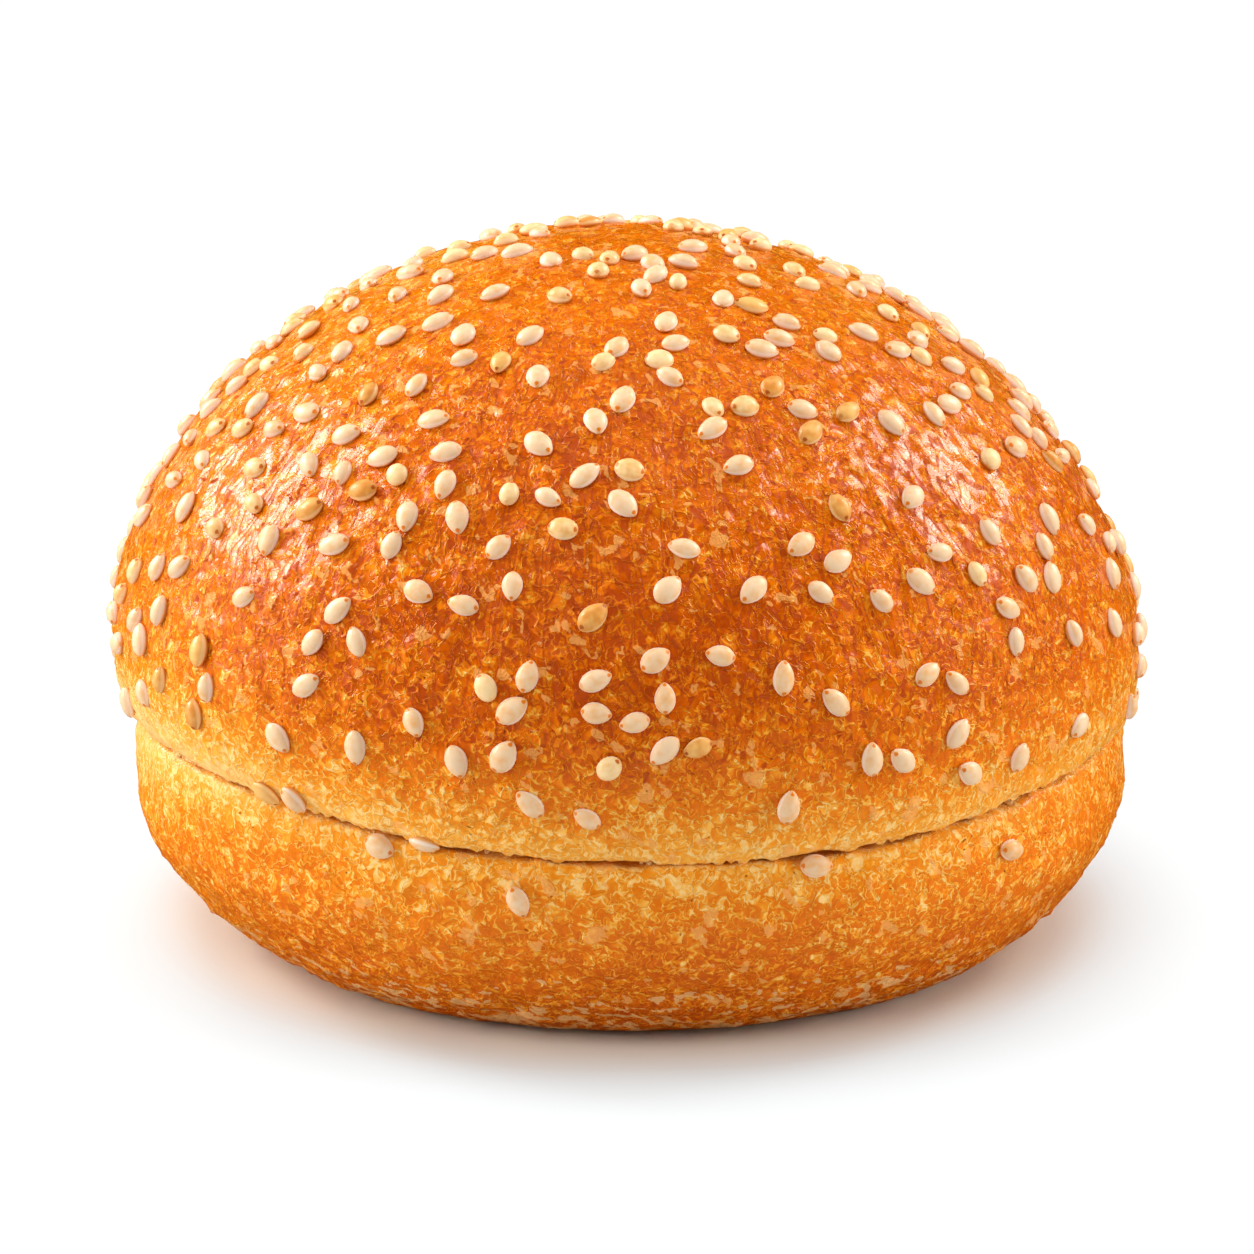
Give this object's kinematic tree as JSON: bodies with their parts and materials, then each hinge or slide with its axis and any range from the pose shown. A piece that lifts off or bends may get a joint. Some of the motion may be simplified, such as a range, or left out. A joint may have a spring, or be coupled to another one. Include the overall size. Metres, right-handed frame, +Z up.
{
  "type": "sesame burger bun",
  "caption": "Round domed bread roll with a glazed crown, a waist crease over a flatter heel, and seeds baked onto the crown.",
  "frame": {"origin": "centre of the flat spot on the heel that the bun rests on", "axes": "+Z up through the crown, -Y towards the side that the picture shows as the front, +X to its right"},
  "size_m": [0.1007, 0.1007, 0.0679],
  "materials": {
    "crust": "egg-glazed baked crust, glossy on the crown and satin on the heel",
    "seeds": "smooth hulled sesame, softly satin"
  },
  "bodies": {
    "root": {"bun": "crust"}
  },
  "joints": []
}
